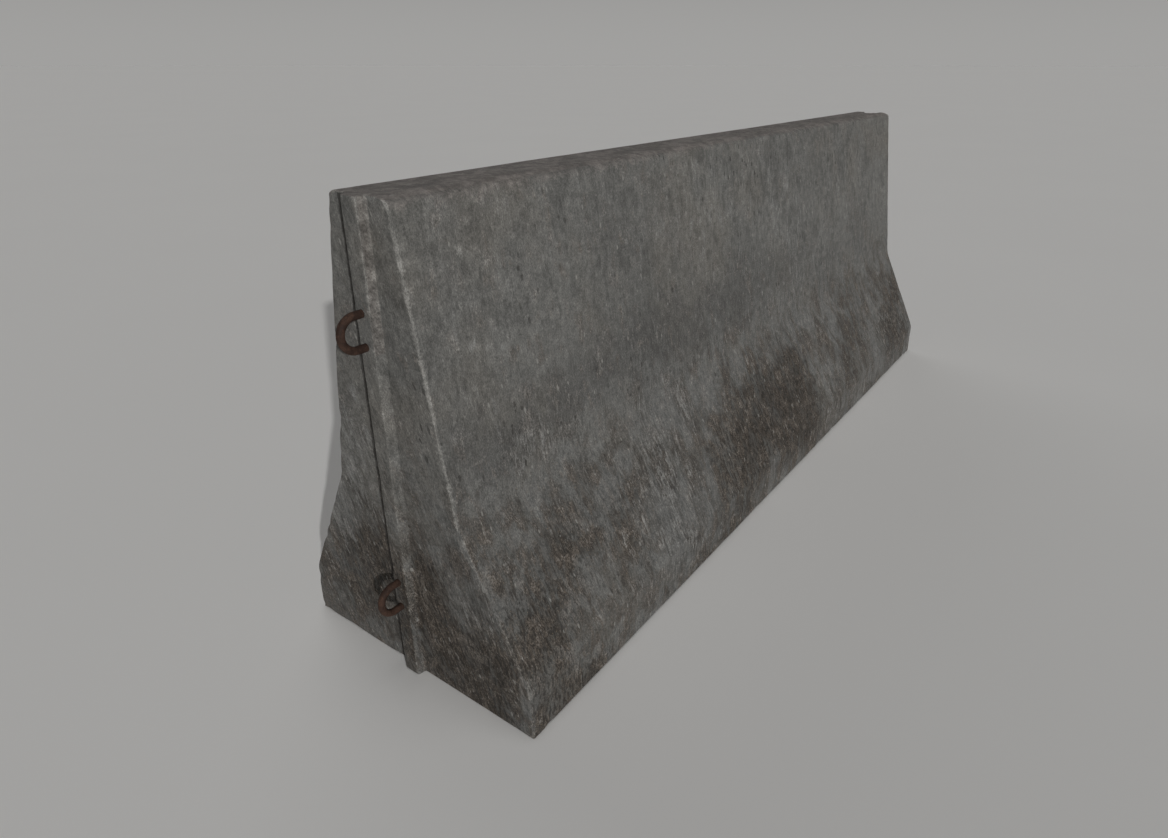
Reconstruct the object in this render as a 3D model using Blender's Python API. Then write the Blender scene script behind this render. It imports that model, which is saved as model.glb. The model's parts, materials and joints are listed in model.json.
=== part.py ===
"""Concrete jersey barrier with the steel cage cast into it and the loops that tie it to its neighbours.

Metres, +Z up. X runs along the barrier: the tongue is on the -X end and the groove that takes the next
barrier's tongue is in the +X end. The origin is on the ground, in the middle of the overall footprint.
"""

from math import radians, sin, tan

import bmesh
import bpy
from mathutils import Matrix, Vector

# The casting's profile, as full widths at their heights above the ground.
LENGTH = 2.176  # from end face to end face
HEIGHT = 0.813
BASE_WIDTH = 0.542
TOE_WIDTH = 0.533
TOE_HEIGHT = 0.096
BREAK_WIDTH = 0.274
BREAK_HEIGHT = 0.346
TOP_WIDTH = 0.116
TOP_EDGE_RADIUS = 0.016
BREAK_RADIUS = 0.080
TOE_EDGE_RADIUS = 0.014
END_EDGE_RADIUS = 0.005  # where the sides meet an end face

# Tongue and groove, which share one centre line.
KEY_Y = -0.003
TONGUE_FACE_WIDTH = 0.032
TONGUE_ROOT_WIDTH = 0.037
TONGUE_DEPTH = 0.016
GROOVE_MOUTH_WIDTH = 0.050
GROOVE_FLOOR_WIDTH = 0.042
GROOVE_DEPTH = 0.062
TONGUE_END_STEP = 0.001  # how far the tongue stops short of the ground and of the top
KEY_OVERRUN = 0.030  # how far the tongue and the groove's cutter run into or past the casting

# Loops of round bar. Each stands out of its face by a short straight and a half circle.
LOOP_BAR = 0.0125
LOOP_BEND = 0.0247  # radius of the half circle, at the bar's centre
LOOP_STANDOFF = 0.0137
LOOP_LEG = 0.280  # cast-in length of each leg, before its hook
LOOP_HOOK_BEND = 0.023
LOOP_Y = -0.001
UPPER_LOOP_Z = 0.630
LOWER_LOOP_Z = 0.1705
UPPER_HOOK_REACH = 0.050
LOWER_HOOK_REACH = 0.162

# The cage.
LONG_BAR = 0.012
STIRRUP_BAR = 0.010
COVER = 0.040  # concrete outside the stirrups
TIE_GAP = 0.0003  # between two bars that are tied together
CHANNEL_GAP = 0.0008  # between a bar and the concrete, so that the channels of tied bars meet
STIRRUP_COUNT = 7
FIRST_STIRRUP = 0.055  # from the near end face
LAST_STIRRUP = 0.115  # from the far end face
BAR_NEAR_COVER = 0.040
BAR_FAR_COVER = 0.100
STIRRUP_FOOT_GAP = 0.060  # half the gap between a stirrup's two feet
STIRRUP_BEND = 0.022
MIDDLE_BARS_Z = 0.400
TOE_BARS_IN = 0.034  # from the stirrup's upright to the bar that lies on its foot

# Worked out from the sizes above.
TIED = (LONG_BAR + STIRRUP_BAR) / 2 + TIE_GAP
HOOKED = (LONG_BAR + LOOP_BAR) / 2 + TIE_GAP
LOOP_REACH = TONGUE_DEPTH + LOOP_STANDOFF + LOOP_BEND + LOOP_BAR / 2  # past the near end face
NEAR_FACE_X = -(LENGTH - LOOP_REACH) / 2
FAR_FACE_X = NEAR_FACE_X + LENGTH
TONGUE_FACE_X = NEAR_FACE_X - TONGUE_DEPTH
GROOVE_FLOOR_X = FAR_FACE_X - GROOVE_DEPTH
UPPER_BARS_Z = UPPER_LOOP_Z - LOOP_BEND - HOOKED
SLOPE_BARS_Z = LOWER_LOOP_Z + LOOP_BEND + HOOKED
FAR_UPPER_LOOP_Z = UPPER_BARS_Z - HOOKED - LOOP_BEND
FAR_LOWER_LOOP_Z = SLOPE_BARS_Z + HOOKED + LOOP_BEND

ACROSS = Matrix(((0, 0, 1), (1, 0, 0), (0, 1, 0))).to_4x4()  # a drawing's x, y and z become Y, Z and X
SMOOTH_UNDER = radians(40)
WELD_DISTANCE = 0.00001

# Straight steps that stand for a bend.
CROWN_STEPS = 6  # half of a loop's half circle
BEND_STEPS = 3
PROFILE_STEPS = 4
SLIGHT_STEPS = 1  # a bend of a few degrees


def clear_scene():
    for obj in list(bpy.data.objects):
        bpy.data.objects.remove(obj)


def new_collection(name):
    collection = bpy.data.collections.new(name)
    bpy.context.scene.collection.children.link(collection)
    return collection


def new_material(name, colour, roughness, metallic):
    material = bpy.data.materials.new(name)
    material.use_nodes = True
    shader = material.node_tree.nodes["Principled BSDF"]
    shader.inputs["Base Color"].default_value = (*colour, 1.0)
    shader.inputs["Roughness"].default_value = roughness
    shader.inputs["Metallic"].default_value = metallic
    return material


def concrete_material(name):
    return new_material(name, (0.46, 0.44, 0.41), 0.95, 0.0)


def rusty_material(name):
    return new_material(name, (0.21, 0.11, 0.07), 0.90, 0.15)


def cage_material(name):
    return new_material(name, (0.27, 0.22, 0.20), 0.70, 0.60)


def arc_corner(before, corner, after, radius, steps):
    """Points of the arc that rounds one corner of a path, from its first tangent point to its last."""
    u, v = (before - corner).normalized(), (after - corner).normalized()
    opening = u.angle(v)
    middle = (u + v).normalized()
    centre = corner + middle * radius / sin(opening / 2)
    start = corner + u * radius / tan(opening / 2) - centre
    axis = start.cross(-u).normalized()
    turn = radians(180) - opening
    return [centre + Matrix.Rotation(turn * i / steps, 3, axis) @ start for i in range(steps + 1)]


def filleted(corners, closed=False):
    """A path through corners given as (point, bend radius, steps of the bend). A radius of 0 stays sharp."""
    points, last = [], len(corners) - 1
    for i, (corner, radius, steps) in enumerate(corners):
        at_end = not closed and i in (0, last)
        if at_end or radius == 0:
            points.append(Vector(corner))
            continue
        before = Vector(corners[i - 1][0])
        after = Vector(corners[(i + 1) % len(corners)][0])
        points += arc_corner(before, Vector(corner), after, radius, steps)
    return points


def profile_corners(inset=0.0):
    """The right half of the profile as (y, z) corners from the base to the top, moved inwards by inset."""
    outline = [
        (0.0, 0.0),
        (BASE_WIDTH / 2, 0.0),
        (TOE_WIDTH / 2, TOE_HEIGHT),
        (BREAK_WIDTH / 2, BREAK_HEIGHT),
        (TOP_WIDTH / 2, HEIGHT),
        (0.0, HEIGHT),
    ]
    lines = []
    for start, end in zip(outline, outline[1:]):
        along = (Vector(end) - Vector(start)).normalized()
        inwards = Vector((-along.y, along.x))
        lines.append((Vector(start) + inwards * inset, along))
    corners = []
    for (p, d), (q, e) in zip(lines, lines[1:]):
        share = (q - p).cross(e) / d.cross(e)
        corners.append(p + d * share)
    return corners


def width_at(corners, z):
    """How far out from the middle a half profile is at height z."""
    for low, high in zip(corners, corners[1:]):
        if low.y <= z <= high.y:
            return low.x + (high.x - low.x) * (z - low.y) / (high.y - low.y)
    raise ValueError("height outside the profile")


def bar_curve(name, path, diameter, collection):
    curve = bpy.data.curves.new(name, "CURVE")
    curve.dimensions = "3D"
    curve.bevel_depth = diameter / 2
    curve.bevel_resolution = 2
    curve.use_fill_caps = True
    spline = curve.splines.new("POLY")
    spline.points.add(len(path) - 1)
    for point, place in zip(spline.points, path):
        point.co = (*place, 1.0)
    obj = bpy.data.objects.new(name, curve)
    collection.objects.link(obj)
    return obj


def outline_curve(name, outline, thickness, collection, edge_radius=0.0):
    """A flat outline in the drawing's x and y, extruded evenly both ways along its z."""
    curve = bpy.data.curves.new(name, "CURVE")
    curve.dimensions = "2D"
    curve.fill_mode = "BOTH"
    curve.extrude = thickness / 2 - edge_radius
    curve.bevel_depth = edge_radius
    curve.bevel_resolution = 1
    curve.offset = -edge_radius
    spline = curve.splines.new("POLY")
    spline.points.add(len(outline) - 1)
    for point, place in zip(spline.points, outline):
        point.co = (place.x, place.y, 0.0, 1.0)
    spline.use_cyclic_u = True
    obj = bpy.data.objects.new(name, curve)
    collection.objects.link(obj)
    return obj


def made_mesh(curve_object, collection):
    """The same shape as a closed mesh, which a Boolean can use. The curve is removed."""
    bpy.context.view_layer.update()
    graph = bpy.context.evaluated_depsgraph_get()
    mesh = bpy.data.meshes.new_from_object(curve_object.evaluated_get(graph))
    shape = bmesh.new()
    shape.from_mesh(mesh)
    bmesh.ops.remove_doubles(shape, verts=shape.verts, dist=WELD_DISTANCE)
    bmesh.ops.recalc_face_normals(shape, faces=shape.faces)
    shape.to_mesh(mesh)
    shape.free()
    name = curve_object.name
    place = curve_object.matrix_world.copy()
    bpy.data.objects.remove(curve_object)
    obj = bpy.data.objects.new(name, mesh)
    obj.matrix_world = place
    collection.objects.link(obj)
    return obj


def made_cutter(curve_object, cutters):
    obj = made_mesh(curve_object, cutters)
    obj.hide_render = True
    obj.display_type = "WIRE"
    return obj


def add_bar(name, path, diameter, material, parts, channels):
    """One bar of the barrier, and the cutter for the channel that it lies in."""
    bar = bar_curve(name, path, diameter, parts)
    bar.data.materials.append(material(name))
    channel = bar_curve(name + "_channel", path, diameter + 2 * CHANNEL_GAP, channels)
    made_cutter(channel, channels)


def loop_path(face_x, outwards, height, reach):
    """A loop's centre line: a hook, a leg, the half circle outside, the other leg and its hook."""
    crown_x = face_x + outwards * (LOOP_STANDOFF + LOOP_BEND)
    hook_x = face_x - outwards * LOOP_LEG
    upper, lower = height + LOOP_BEND, height - LOOP_BEND
    return filleted(
        [
            ((hook_x, reach, upper), 0, 0),
            ((hook_x, LOOP_Y, upper), LOOP_HOOK_BEND, BEND_STEPS),
            ((crown_x, LOOP_Y, upper), LOOP_BEND, CROWN_STEPS),
            ((crown_x, LOOP_Y, lower), LOOP_BEND, CROWN_STEPS),
            ((hook_x, LOOP_Y, lower), LOOP_HOOK_BEND, BEND_STEPS),
            ((hook_x, -reach, lower), 0, 0),
        ]
    )


def add_loops(parts, channels):
    for name, face_x, outwards, height, reach in (
        ("loop_near_upper", TONGUE_FACE_X, -1, UPPER_LOOP_Z, UPPER_HOOK_REACH),
        ("loop_near_lower", TONGUE_FACE_X, -1, LOWER_LOOP_Z, LOWER_HOOK_REACH),
        ("loop_far_upper", GROOVE_FLOOR_X, 1, FAR_UPPER_LOOP_Z, UPPER_HOOK_REACH),
        ("loop_far_lower", GROOVE_FLOOR_X, 1, FAR_LOWER_LOOP_Z, LOWER_HOOK_REACH),
    ):
        path = loop_path(face_x, outwards, height, reach)
        add_bar(name, path, LOOP_BAR, rusty_material, parts, channels)


def stirrup_path(x):
    """A hairpin that follows the profile, with its feet turned in and a gap between them."""
    toe, knee, waist, crown = profile_corners(COVER + STIRRUP_BAR / 2)
    half = [
        ((x, STIRRUP_FOOT_GAP, toe.y), 0, 0),
        ((x, toe.x, toe.y), STIRRUP_BEND, BEND_STEPS),
        ((x, knee.x, knee.y), STIRRUP_BEND, SLIGHT_STEPS),
        ((x, waist.x, waist.y), BREAK_RADIUS, SLIGHT_STEPS),
        ((x, crown.x, crown.y), crown.x, BEND_STEPS),
    ]
    mirrored = [((x, -y, z), radius, steps) for (x, y, z), radius, steps in reversed(half)]
    return filleted(half + mirrored)


def add_stirrups(parts, channels):
    first = NEAR_FACE_X + FIRST_STIRRUP
    last = FAR_FACE_X - LAST_STIRRUP
    for i in range(STIRRUP_COUNT):
        x = first + (last - first) * i / (STIRRUP_COUNT - 1)
        add_bar(f"stirrup_{i + 1}", stirrup_path(x), STIRRUP_BAR, cage_material, parts, channels)


def add_long_bars(parts, channels):
    """Straight bars inside the stirrups, tied to them."""
    stirrup = profile_corners(COVER + STIRRUP_BAR / 2)
    bars = profile_corners(COVER + STIRRUP_BAR / 2 + TIED)
    toe, crown = stirrup[0], stirrup[-1]
    places = {"bar_crown": (0.0, crown.y - TIED)}
    for level, z in (("upper", UPPER_BARS_Z), ("middle", MIDDLE_BARS_Z), ("slope", SLOPE_BARS_Z)):
        out = width_at(bars, z)
        places[f"bar_{level}_left"] = (out, z)
        places[f"bar_{level}_right"] = (-out, z)
    out = toe.x - TOE_BARS_IN
    places["bar_toe_left"] = (out, toe.y + TIED)
    places["bar_toe_right"] = (-out, toe.y + TIED)
    for name, (y, z) in places.items():
        path = [(NEAR_FACE_X + BAR_NEAR_COVER, y, z), (FAR_FACE_X - BAR_FAR_COVER, y, z)]
        add_bar(name, path, LONG_BAR, cage_material, parts, channels)


def profile_outline():
    """The whole profile, closed, with its edges rounded."""
    toe_base, toe, waist, top = [corner.to_3d() for corner in profile_corners()]
    right = [
        (toe_base, 0, 0),
        (toe, TOE_EDGE_RADIUS, PROFILE_STEPS // 2),
        (waist, BREAK_RADIUS, PROFILE_STEPS),
        (top, TOP_EDGE_RADIUS, PROFILE_STEPS),
    ]
    left = [((-p.x, p.y, 0), radius, steps) for p, radius, steps in reversed(right)]
    return filleted(right + left, closed=True)


def wedge_outline(root_x, root_width, face_x, face_width, overrun):
    """The plan of the tongue or the groove, as seen from above, with its root continued by overrun."""
    away = overrun if root_x > face_x else -overrun
    corners = []
    for x, width in ((root_x + away, root_width), (root_x, root_width), (face_x, face_width)):
        corners.append(Vector((x, KEY_Y + width / 2)))
    for x, width in ((face_x, face_width), (root_x, root_width), (root_x + away, root_width)):
        corners.append(Vector((x, KEY_Y - width / 2)))
    return corners


def add_boolean(obj, name, operation):
    modifier = obj.modifiers.new(name, "BOOLEAN")
    modifier.operation = operation
    modifier.solver = "EXACT"
    return modifier


def add_concrete(parts, shapes, channels):
    """The casting: profile, tongue and groove, less the channels that the bars lie in."""
    body = outline_curve("concrete_body", profile_outline(), LENGTH, parts, END_EDGE_RADIUS)
    body.matrix_world = Matrix.Translation(((NEAR_FACE_X + FAR_FACE_X) / 2, 0, 0)) @ ACROSS
    body = made_mesh(body, parts)
    body.data.shade_smooth()
    body.data.set_sharp_from_angle(angle=SMOOTH_UNDER)
    body.data.materials.append(concrete_material("concrete_body"))

    plan = wedge_outline(NEAR_FACE_X, TONGUE_ROOT_WIDTH, TONGUE_FACE_X, TONGUE_FACE_WIDTH, KEY_OVERRUN)
    tongue = outline_curve("tongue_shape", plan, HEIGHT - 2 * TONGUE_END_STEP, shapes)
    tongue.matrix_world = Matrix.Translation((0, 0, HEIGHT / 2))
    tongue = made_cutter(tongue, shapes)

    plan = wedge_outline(FAR_FACE_X, GROOVE_MOUTH_WIDTH, GROOVE_FLOOR_X, GROOVE_FLOOR_WIDTH, KEY_OVERRUN)
    groove = outline_curve("groove_shape", plan, HEIGHT + 2 * KEY_OVERRUN, shapes)
    groove.matrix_world = Matrix.Translation((0, 0, HEIGHT / 2))
    groove = made_cutter(groove, shapes)

    add_boolean(body, "tongue", "UNION").object = tongue
    add_boolean(body, "groove", "DIFFERENCE").object = groove
    cut = add_boolean(body, "channels", "DIFFERENCE")
    cut.operand_type = "COLLECTION"
    cut.collection = channels


def build():
    clear_scene()
    parts = new_collection("jersey_barrier")
    shapes = new_collection("barrier_cutters")
    channels = new_collection("bar_channels")
    add_loops(parts, channels)
    add_long_bars(parts, channels)
    add_stirrups(parts, channels)
    add_concrete(parts, shapes, channels)


build()
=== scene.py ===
"""Looks of the concrete jersey barrier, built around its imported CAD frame.

Metres, +Z up, in the frame's own axes: X runs along the barrier, the tongue is on the -X end and the groove
in the +X end. The casting is one dense closed mesh with worn edges, the four loops are swept bars, and the
bars and stirrups of the hidden cage stay as the CAD made them.
"""

import json
from collections import namedtuple
from math import cos, pi, radians, sin, sqrt, tan

import bpy
import numpy as np
from mathutils import Matrix, Vector, noise

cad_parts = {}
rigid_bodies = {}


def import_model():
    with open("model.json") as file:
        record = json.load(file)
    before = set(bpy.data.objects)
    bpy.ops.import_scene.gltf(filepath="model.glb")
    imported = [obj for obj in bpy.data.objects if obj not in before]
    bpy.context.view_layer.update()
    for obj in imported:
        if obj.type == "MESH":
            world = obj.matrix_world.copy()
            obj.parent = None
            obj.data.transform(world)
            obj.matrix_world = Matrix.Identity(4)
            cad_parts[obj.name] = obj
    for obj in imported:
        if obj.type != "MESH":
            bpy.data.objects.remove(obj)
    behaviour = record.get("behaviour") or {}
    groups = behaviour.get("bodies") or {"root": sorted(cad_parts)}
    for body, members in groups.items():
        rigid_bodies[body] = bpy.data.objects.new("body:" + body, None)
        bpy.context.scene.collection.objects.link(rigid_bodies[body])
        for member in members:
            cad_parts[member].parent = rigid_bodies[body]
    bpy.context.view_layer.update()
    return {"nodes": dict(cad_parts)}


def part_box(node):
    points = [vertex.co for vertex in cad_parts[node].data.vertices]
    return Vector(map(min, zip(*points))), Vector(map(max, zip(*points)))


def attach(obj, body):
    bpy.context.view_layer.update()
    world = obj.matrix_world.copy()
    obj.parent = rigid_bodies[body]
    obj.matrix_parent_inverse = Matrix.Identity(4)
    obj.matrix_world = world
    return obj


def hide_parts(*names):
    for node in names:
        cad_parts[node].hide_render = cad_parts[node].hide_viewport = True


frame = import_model()

# The casting's sizes, where the frame's boxes don't give them.
LENGTH = 2.176
TOE_WIDTH, TOE_HEIGHT = 0.533, 0.096
BREAK_WIDTH, BREAK_HEIGHT = 0.274, 0.346
TOP_WIDTH = 0.116
TOE_RADIUS, BREAK_RADIUS = 0.014, 0.080
KEY_Y = -0.003
TONGUE_ROOT_WIDTH, TONGUE_FACE_WIDTH = 0.037, 0.032
GROOVE_MOUTH_WIDTH, GROOVE_FLOOR_WIDTH, GROOVE_DEPTH = 0.050, 0.042, 0.062
TOP_ROUND_RIGHT = (0.023, 0.011)  # how far the top's rounding reaches across and down
TOP_ROUND_LEFT = (0.010, 0.010)

casting_low, casting_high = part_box("concrete_body")
HEIGHT = casting_high.z
BASE_WIDTH = casting_high.y - casting_low.y
FAR_X = casting_high.x
NEAR_X = FAR_X - LENGTH
TONGUE_X = casting_low.x
TONGUE_DEPTH = NEAR_X - TONGUE_X
GROOVE_X = FAR_X - GROOVE_DEPTH

# The loops' round bar.
LOOP_BAR = 0.0125
LOOP_LEG_Y = -0.001
LOOP_HOOK_BEND = 0.023
BAR_SIDES, BAR_STEP, ARC_STEPS = 32, 0.0022, 24
NEARLY = 0.9999  # a loop's two quarter bends stop just short of each other
SKIN_PITS, SKIN_GRAIN = 260, 900  # scales of the bar's pits and grain
PIT_DEPTH, GRAIN_DEPTH = 0.00022, 0.00008

# The casting's mesh: the steps between its points, which grow away from the edges.
END_STEP, EDGE_STEP, ROOT_STEP = 0.0012, 0.0015, 0.004
STATION_STEP, ROW_STEP, COLUMN_STEP = 0.0125, 0.0078, 0.017
STATION_GROWTH, ROW_GROWTH, COLUMN_GROWTH = 1.045, 1.3, 1.25
END_REACH = 0.20  # about how far an end reaches to each side of its key
FLANK_COLUMNS = 7
KEY_STEPS = (0.09, 0.28, 1.35)  # first and widest step across the key's face, in half widths, and growth
TONGUE_STATIONS = 6  # stations that the tongue's top takes
GROOVE_BLEND = 0.160  # how far before the far end the top's stations start to bend round the groove
SPREAD_BLEND = 0.150  # how far from each end the top's columns spread evenly
FAR_AWAY = 9.0
ON_FACE = 0.0001  # points this close to a face count as on it

# The casting's wear.
WEAR_ZONE = 0.03  # how far in from an edge its wear can reach
SOFT_ZONE = 0.006  # how far in from an edge the surface is smoothed after it wears
BITES, CRUMBS, STRIPS = 38, 120, 30  # scales of the noises behind bites, crumbs and pale strips
PALE_FROM, PALE_TO = 0.26, 0.46  # heights between which the pale strips along the edges come in
SMOOTHING, SMOOTH_ROUNDS = 0.55, 3  # how strongly and how often that smoothing is done
HOLLOW_FROM, HOLLOW_TO = 0.001, 0.006  # depths of cut between which a bite gets darker, with painted shade and dirt
WIDE_WAVE, SMALL_WAVE = (0.0005, 3.2), (0.0002, 14)  # the surface's waves: depth and scale

# Where its stains lie.
END_SWAY, WALL_SWAY, SWAY_SCALE = 0.014, 0.035, 9  # how far and how finely the stains' outlines wander
FLANK_BROWN = 0.5  # how much of the brown the tongue's rubbed flank keeps
FLANK_FOOT = 0.7  # how worn the flank is at its foot, where 1 is fully worn
FLANK_FROM, FLANK_TO = 0.12, 0.40  # heights between which it becomes fully worn
RIM_FROM, RIM_TO = 0.60, 0.70  # heights between which the flank's wear turns into two worn rims
RIM_WIDTH = 0.15  # of the flank's width
DUST_REACH, DUST_NEAR_REACH, DUST_SWAY = 0.015, 0.014, 0.010  # how far the dust comes down from the top
DUST_FADE = 1.3  # the stretch from the near end over which it comes down further
WALL_DUST = 0.65  # how dusty the walls are there, next to the top
END_SLANT = 0.35  # how far the ends' streaks lean to the side on their way down
SIDES_APART = 10.0  # how far apart the sides lie in the patterns, so that none repeats another
SIDE_SCALE = 9  # the scale of the patterns along the side's number
CORNER_DIRT_AND_SHADE = 0.0222  # how far the dirt and painted shade beside the tongue reach over the end face
LOW_HEIGHTS = (0.54, 0.25)  # heights between which the stains and the painted shade of the lower part come in

CAMERA_FROM_END = (-0.6120, -0.8187, 0.9632)  # from the middle of the near end face, at the ground
CAMERA_DOWN, CAMERA_RIGHT = 25.932, 53.660  # degrees from level, and from looking along +Y
CAMERA_LENS, SENSOR_WIDTH = 22.533, 36.0

# Linear colours.
GREY_DARK, GREY_LIGHT = (0.146, 0.144, 0.136), (0.184, 0.182, 0.171)
WARM_GREY = (0.180, 0.169, 0.150)
SHADE_GREY = (0.092, 0.090, 0.086)
GRIME_AND_SHADE = (0.098, 0.088, 0.078)
BROWN_DARK, BROWN_LIGHT = (0.048, 0.039, 0.031), (0.112, 0.094, 0.077)
LIME = (0.228, 0.229, 0.221)
FLANK_DARK, FLANK_LIGHT = (0.128, 0.115, 0.104), (0.262, 0.244, 0.224)
WORN = (0.330, 0.322, 0.300)
DUST_DARK, DUST_LIGHT = (0.178, 0.158, 0.145), (0.242, 0.219, 0.202)
PIT_DARK = (0.030, 0.027, 0.024)
OCHRE = (0.360, 0.270, 0.175)
LOOP_RUST = ((0.032, 0.0165, 0.0112), (0.066, 0.036, 0.0245), (0.105, 0.050, 0.030))
CAGE_RUST = ((0.050, 0.042, 0.040), (0.115, 0.082, 0.066), (0.180, 0.098, 0.058))
FLOOR_COLOUR = (0.86, 0.85, 0.83)
HORIZON, ZENITH = (0.3564, 0.3525, 0.3450), (0.020, 0.020, 0.021)

# The studio: each light's name, the way it travels, its strength and its spread in degrees.
SUNS = [
    ("key", (0.511, 0.792, -0.332), 1.73, 1.0),
    ("overhead", (0.0, 0.0, -1.0), 0.46, 25),
    ("back_fill", (-0.45, -0.75, -0.32), 0.44, 60),
]
ZENITH_AT = 0.45  # the upward part of a direction from which the surround is at its darkest
FLOOR_SIZE, FLOOR_DROP = 400.0, 0.0004


# ---------------------------------------------------------------- paths


def arc_corner(before, corner, after, radius, steps):
    """Points of the arc that rounds one corner of a path, from its first tangent point to its last."""
    u, v = (before - corner).normalized(), (after - corner).normalized()
    opening = u.angle(v)
    centre = corner + (u + v).normalized() * radius / sin(opening / 2)
    start = corner + u * radius / tan(opening / 2) - centre
    axis = start.cross(-u).normalized()
    turn = pi - opening
    return [centre + Matrix.Rotation(turn * i / steps, 3, axis) @ start for i in range(steps + 1)]


def filleted(corners, steps=12):
    """A path through corners given as (point, bend radius), with a radius of 0 at both ends."""
    points = []
    for i, (corner, radius) in enumerate(corners):
        if radius == 0:
            points.append(Vector(corner))
            continue
        before, after = Vector(corners[i - 1][0]), Vector(corners[i + 1][0])
        points += arc_corner(before, Vector(corner), after, radius, steps)
    return np.array(points)


def distances(path):
    """How far along a path each of its points is."""
    return np.append(0.0, np.cumsum(np.linalg.norm(np.diff(path, axis=0), axis=1)))


def along(path, places):
    """The points at these distances along a path."""
    walked = distances(path)
    return np.stack([np.interp(places, walked, path[:, axis]) for axis in range(3)], axis=1)


def graded(length, first, last, widest, growth):
    """Places from 0 to length, in steps that grow from each end's own step up to the widest one."""
    head, tail = [first], [last]
    while sum(head) + sum(tail) < length:
        side = head if head[-1] <= tail[-1] else tail
        if len(head) > 1 and head[-1] >= widest and tail[-1] >= widest:
            side = head
        side.append(min(side[-1] * growth, widest))
    places = np.append(0.0, np.cumsum(head + tail[::-1]))
    return places * length / places[-1]


# ---------------------------------------------------------------- noise on points


def noise_at(points, scale, seed, octaves=1):
    """Smooth noise from about -1 to 1 at each point."""
    shift = Vector((seed * 7.31, seed * 3.17, seed * 5.93))
    if octaves == 1:
        return np.array([noise.noise(Vector(p) * scale + shift) for p in points])
    return np.array([noise.fractal(Vector(p) * scale + shift, 1.0, 2.0, octaves) for p in points])


def ease(low, high, value):
    """0 up to low, 1 from high on, and smooth between them."""
    share = np.clip((value - low) / (high - low), 0.0, 1.0)
    return share * share * (3 - 2 * share)


# ---------------------------------------------------------------- the casting's lattice


def wall_path():
    """A side wall from the ground up, as (half width, 0, height), with its two bends rounded."""
    return filleted(
        [
            ((BASE_WIDTH / 2, 0, 0), 0),
            ((TOE_WIDTH / 2, 0, TOE_HEIGHT), TOE_RADIUS),
            ((BREAK_WIDTH / 2, 0, BREAK_HEIGHT), BREAK_RADIUS),
            ((TOP_WIDTH / 2, 0, HEIGHT), 0),
        ]
    )


def lattice_columns():
    """Columns across an end, from the right wall to the left one, as rows of (side, wall, root, face).

    The last three are shares of where the wall, the key's root and the key's face are. The face's share is
    also how far the column stands out on the tongue and lies back in the groove.
    """
    outer = graded(END_REACH, EDGE_STEP, ROOT_STEP, COLUMN_STEP, COLUMN_GROWTH) / END_REACH
    flank = np.linspace(0, 1, FLANK_COLUMNS + 1)[1:]
    first, widest, growth = KEY_STEPS
    middle = graded(2.0, first, first, widest, growth)[1:-1] - 1
    right = [(-1, 1 - s, s, 0) for s in outer] + [(-1, 0, 1 - t, t) for t in flank]
    left = [(1, wall, root, face) for _, wall, root, face in reversed(right)]
    return np.array(right + [(side, 0, 0, 1) for side in middle] + left, float)


def column_y(columns, wall, root_width, face_width):
    """Where columns are across one end, at points whose wall stands this far out."""
    side, to_wall, to_root, to_face = columns.T
    out = to_wall * wall + to_root * root_width / 2 + to_face * face_width / 2
    return side * out + (to_root + to_face) * KEY_Y


class Lattice:
    """The surface points of a box of columns, rows and stations, laid on the casting's shape."""

    def __init__(self):
        self.wall = wall_path()
        walked = distances(self.wall)
        up = graded(walked[-1], EDGE_STEP, EDGE_STEP, ROW_STEP, ROW_GROWTH)
        rows = along(self.wall, up)
        columns = lattice_columns()
        stations = graded(LENGTH, END_STEP, END_STEP, STATION_STEP, STATION_GROWTH)
        self.shape = (len(columns), len(rows), len(stations))
        on_skin = np.ones(self.shape, bool)
        on_skin[1:-1, 1:-1, 1:-1] = False
        self.ids = np.full(self.shape, -1)
        self.ids[on_skin] = np.arange(on_skin.sum())
        self.column, self.row, self.station = np.nonzero(on_skin)
        self.down = walked[-1] - up[self.row]  # along the wall, from the top
        self.key_share = columns[self.column, 3]  # 1 on the key's face, 0 at its root and beyond
        self.side = columns[self.column, 0]  # -1 right of the key's face, 1 left of it, between on the face
        self.place(columns[self.column], rows[self.row], stations[self.station])

    def place(self, columns, rows, run):
        """Sets the points on the casting's plain shape, before any rounding or wear."""
        wall, height = rows[:, 0], rows[:, 2]
        near_y = column_y(columns, wall, TONGUE_ROOT_WIDTH, TONGUE_FACE_WIDTH)
        far_y = column_y(columns, wall, GROOVE_MOUTH_WIDTH, GROOVE_FLOOR_WIDTH)
        even_y = wall * (2 * self.column / (self.shape[0] - 1) - 1)
        y = np.where(run < LENGTH / 2, near_y, far_y)
        y += (even_y - y) * ease(0, SPREAD_BLEND, np.minimum(run, LENGTH - run))
        tongue = np.clip(1 - self.station / TONGUE_STATIONS, 0, 1) * TONGUE_DEPTH
        groove = np.clip(1 - (LENGTH - run) / GROOVE_BLEND, 0, 1) * GROOVE_DEPTH
        x = NEAR_X + run - (tongue + groove) * self.key_share
        self.points = np.stack([x, y, height], axis=1)

    def quads(self):
        """Each side's quads as rows of four point numbers, wound so that they face outwards."""
        ids = self.ids
        sides = {
            "near": ids[:, :, 0],
            "far": ids[::-1, :, -1],
            "right": ids[0],
            "left": ids[-1, :, ::-1],
            "top": ids[:, -1],
            "base": ids[:, 0, ::-1],
        }
        made = {}
        for name, grid in sides.items():
            ring = (grid[:-1, :-1], grid[:-1, 1:], grid[1:, 1:], grid[1:, :-1])
            made[name] = np.stack([corner.ravel() for corner in ring], axis=1)
        return made


# ---------------------------------------------------------------- rounding and wear

# Every point's distance from a face, and the way in from that face.
Face = namedtuple("Face", "distance inwards")

# An edge between two faces: how deep it is worn and its bites go, how whitish its worn strip is and how far
# that reaches, its seed, and how much of the whitish is left at the foot.
Edge = namedtuple("Edge", "first second depth bite pale reach seed foot", defaults=(0.15,))


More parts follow.
